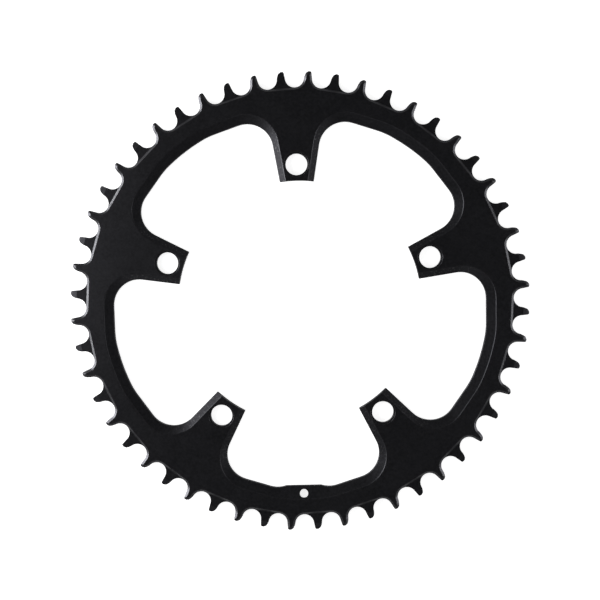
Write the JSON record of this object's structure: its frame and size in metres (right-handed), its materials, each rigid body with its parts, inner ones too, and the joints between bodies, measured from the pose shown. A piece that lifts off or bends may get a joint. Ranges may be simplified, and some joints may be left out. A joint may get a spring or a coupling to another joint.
{
  "type": "bicycle chainring",
  "caption": "Narrow-wide bicycle chainring: thick and thin teeth by turns, tapered bolt arms, bevelled openings between them and a small pin hole in the rim.",
  "frame": {"origin": "on the ring's axis, in the plane of the back face", "axes": "+Z along the axis, out of the front face; +Y towards the first bolt arm, opposite the pin hole"},
  "size_m": [0.2164, 0.2164, 0.004],
  "materials": {
    "anodised": "black anodised over a fine machined and blasted surface"
  },
  "bodies": {
    "root": {"chainring": "anodised"}
  },
  "joints": []
}
